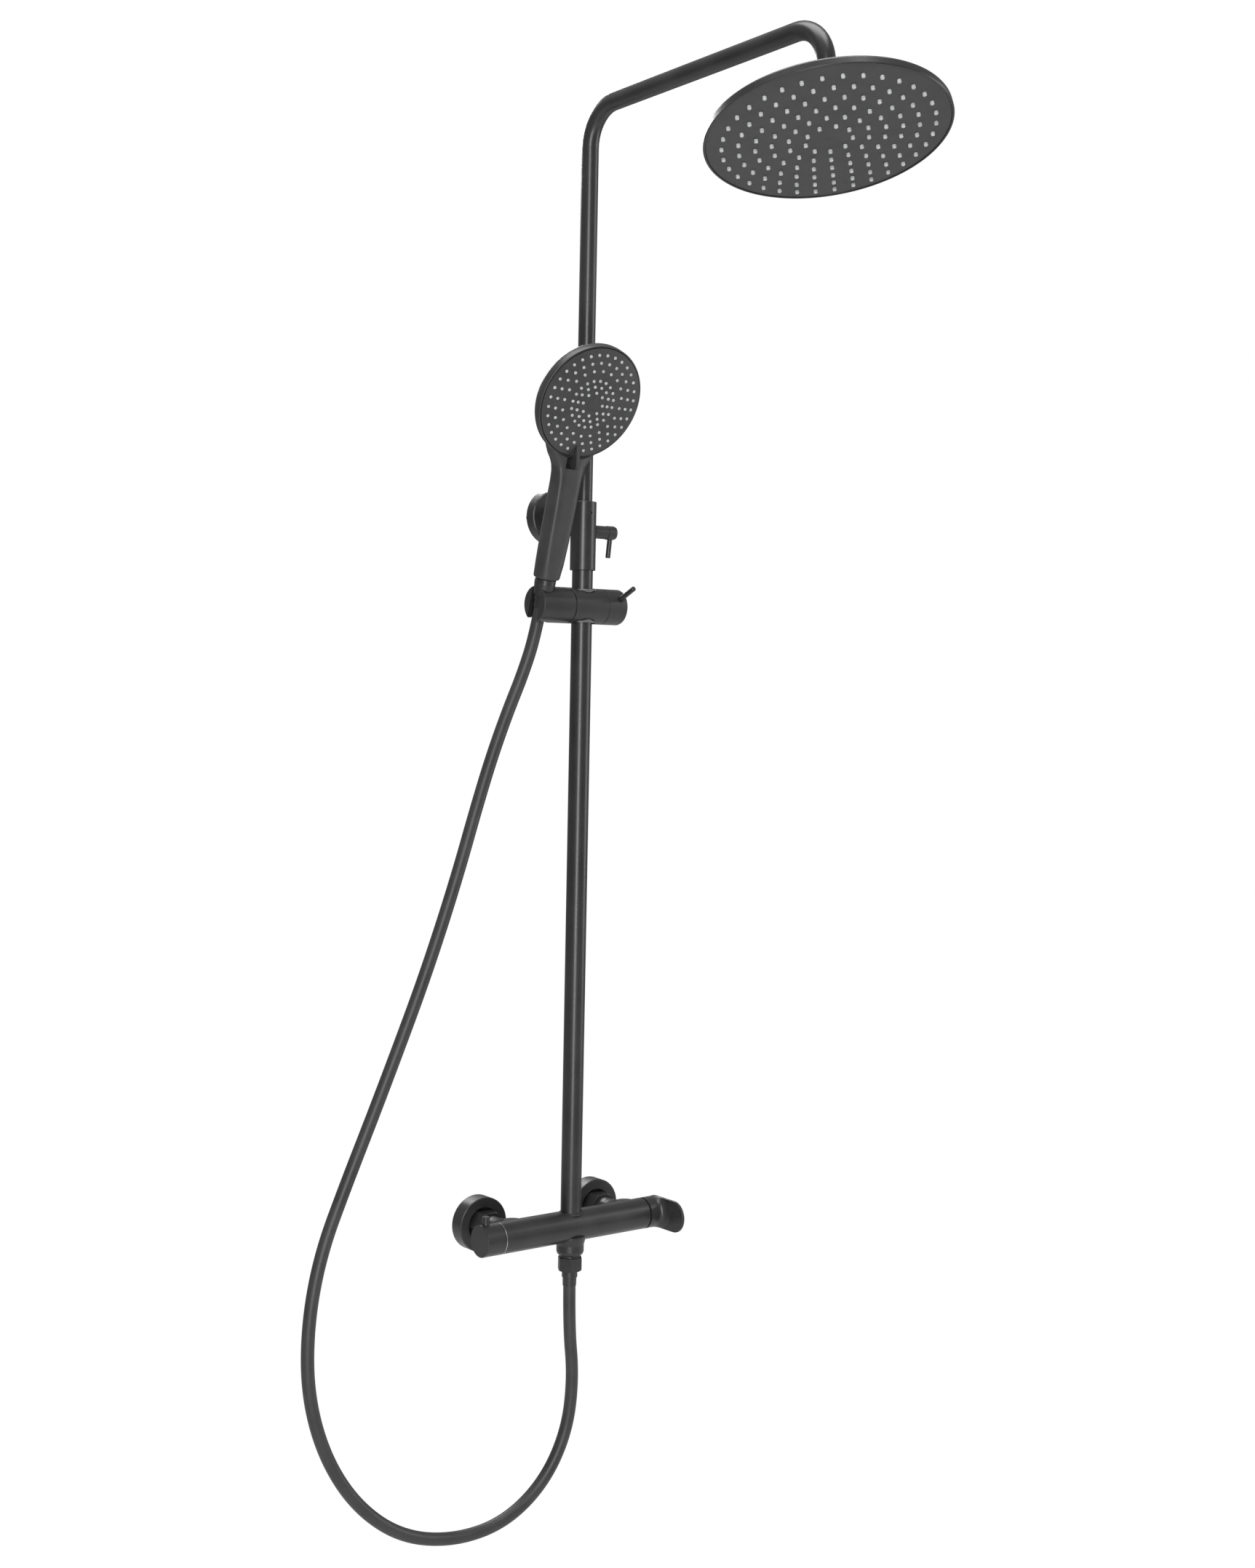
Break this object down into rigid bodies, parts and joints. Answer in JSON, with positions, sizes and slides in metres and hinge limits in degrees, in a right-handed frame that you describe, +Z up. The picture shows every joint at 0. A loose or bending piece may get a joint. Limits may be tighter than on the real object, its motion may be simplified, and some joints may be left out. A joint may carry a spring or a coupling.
{
  "type": "rainfall shower column",
  "caption": "Wall-mounted shower column: thermostatic bar mixer, telescopic riser with swivel arm, tilting overhead shower, slider and hand shower on a hose.",
  "frame": {"origin": "on the wall, midway between the two water inlets", "axes": "+X right along the wall seen from the room, +Y into the wall, +Z up"},
  "size_m": [0.434, 0.558, 1.5141],
  "materials": {
    "matte_black": "matte black powder coat",
    "black_plastic": "fine matte black",
    "black_rubber": "black rubber seal",
    "nozzle_silicone": "light grey silicone",
    "brass": "machined brass",
    "steel": "zinc plated steel",
    "bright_ring": "polished",
    "grey_plastic": "moulded engineering plastic",
    "hose_black": "smooth black PVC"
  },
  "bodies": {
    "wall_set": {"wall_unions": "brass", "escutcheons": "matte_black", "inlet_filters": "black_rubber", "union_nuts": "matte_black", "check_valves": "grey_plastic", "mixer_body": "matte_black", "thermostatic_cartridge": "grey_plastic", "flow_cartridge": "grey_plastic", "cartridge_bonnets": "grey_plastic", "temperature_ring": "bright_ring", "lower_pipe": "matte_black", "riser_gasket": "black_rubber", "column_sleeve": "matte_black", "sleeve_screw": "matte_black", "guide_bush": "grey_plastic", "lock_pad": "grey_plastic", "bracket_arm": "matte_black", "bracket_bolt": "steel", "wall_plate": "steel", "wall_screws": "steel", "outlet_nipple": "matte_black", "hose_nut": "matte_black", "lower_washer": "black_rubber", "lower_ferrule": "matte_black", "hose_tube": "hose_black"},
    "temperature_control": {"temperature_knob": "matte_black", "temperature_pin": "matte_black", "temperature_spindle": "brass"},
    "flow_control": {"flow_handle": "matte_black", "flow_spindle": "brass"},
    "column_lock": {"lock_knob": "matte_black", "lock_lever": "matte_black", "lock_screw": "brass"},
    "rosette_cover": {"rosette": "matte_black"},
    "telescope": {"telescope_bush": "grey_plastic"},
    "arm": {"upper_pipe": "matte_black", "ball_stud": "matte_black"},
    "head_tilt": {"ball_seat": "grey_plastic"},
    "overhead_shower": {"head_shell": "matte_black", "ball_retainer": "matte_black", "head_face": "black_plastic", "head_nozzles": "nozzle_silicone"},
    "slider": {"slider_body": "matte_black", "slider_liner": "grey_plastic", "clamp_shoe": "grey_plastic", "fork_washer": "grey_plastic", "fork_bolt": "steel"},
    "slider_lock": {"slider_knob": "matte_black", "slider_lever": "matte_black", "slider_spindle": "brass"},
    "fork": {"slider_fork": "matte_black", "cone_nut": "matte_black", "upper_ferrule": "matte_black", "upper_washer": "black_rubber"},
    "hand_shower": {"hand_nipple": "brass", "hand_shell": "black_plastic", "hand_face": "black_plastic", "hand_nozzles": "nozzle_silicone", "hand_cap": "black_plastic"},
    "mode_control": {"mode_lever": "black_plastic"}
  },
  "joints": [
    {"name": "temperature_turn", "type": "hinge", "parent": "wall_set", "child": "temperature_control", "pos_m": [-0.105, -0.071, 0], "axis": [1, 0, 0], "range_deg": [-120, 120]},
    {"name": "flow_turn", "type": "hinge", "parent": "wall_set", "child": "flow_control", "pos_m": [0.11, -0.071, 0], "axis": [1, 0, 0], "range_deg": [-90, 90]},
    {"name": "column_lock_turn", "type": "hinge", "parent": "wall_set", "child": "column_lock", "pos_m": [0.036, -0.071, 0.7399], "axis": [1, 0, 0], "range_deg": [-150, 150]},
    {"name": "rosette_slide", "type": "slide", "parent": "wall_set", "child": "rosette_cover", "axis": [0, 1, 0], "range_m": [0, 0.0078]},
    {"name": "height_slide", "type": "slide", "parent": "wall_set", "child": "telescope", "axis": [0, 0, 1], "range_m": [-0.18, 0.08]},
    {"name": "arm_swivel", "type": "hinge", "parent": "telescope", "child": "arm", "pos_m": [0, -0.071, 0.8], "axis": [0, 0, 1], "range_deg": [-60, 60]},
    {"name": "head_tilt", "type": "hinge", "parent": "arm", "child": "head_tilt", "pos_m": [0, -0.428, 1.1041], "axis": [1, 0, 0], "range_deg": [-12, 12]},
    {"name": "head_turn", "type": "hinge", "parent": "head_tilt", "child": "overhead_shower", "pos_m": [0, -0.428, 1.1041], "axis": [0.0732, 0.2944, 0.9529], "continuous": true},
    {"name": "slider_height", "type": "slide", "parent": "wall_set", "child": "slider", "axis": [0, 0, 1], "range_m": [-0.4, 0.015], "deforming": ["hose_tube"]},
    {"name": "slider_lock_turn", "type": "hinge", "parent": "slider", "child": "slider_lock", "pos_m": [0.0385, -0.071, 0.6612], "axis": [1, 0, 0], "range_deg": [-40, 60]},
    {"name": "fork_tilt", "type": "hinge", "parent": "slider", "child": "fork", "pos_m": [-0.04, -0.071, 0.6612], "axis": [1, 0, 0], "range_deg": [-8, 27]},
    {"name": "hand_shower_turn", "type": "hinge", "parent": "fork", "child": "hand_shower", "pos_m": [-0.053, -0.071, 0.6612], "axis": [0, -0.279, 0.9603], "range_deg": [-25, 25]},
    {"name": "mode_turn", "type": "hinge", "parent": "hand_shower", "child": "mode_control", "pos_m": [-0.053, -0.154, 0.8596], "axis": [0, -0.887, -0.4617], "range_deg": [-6, 0]}
  ]
}
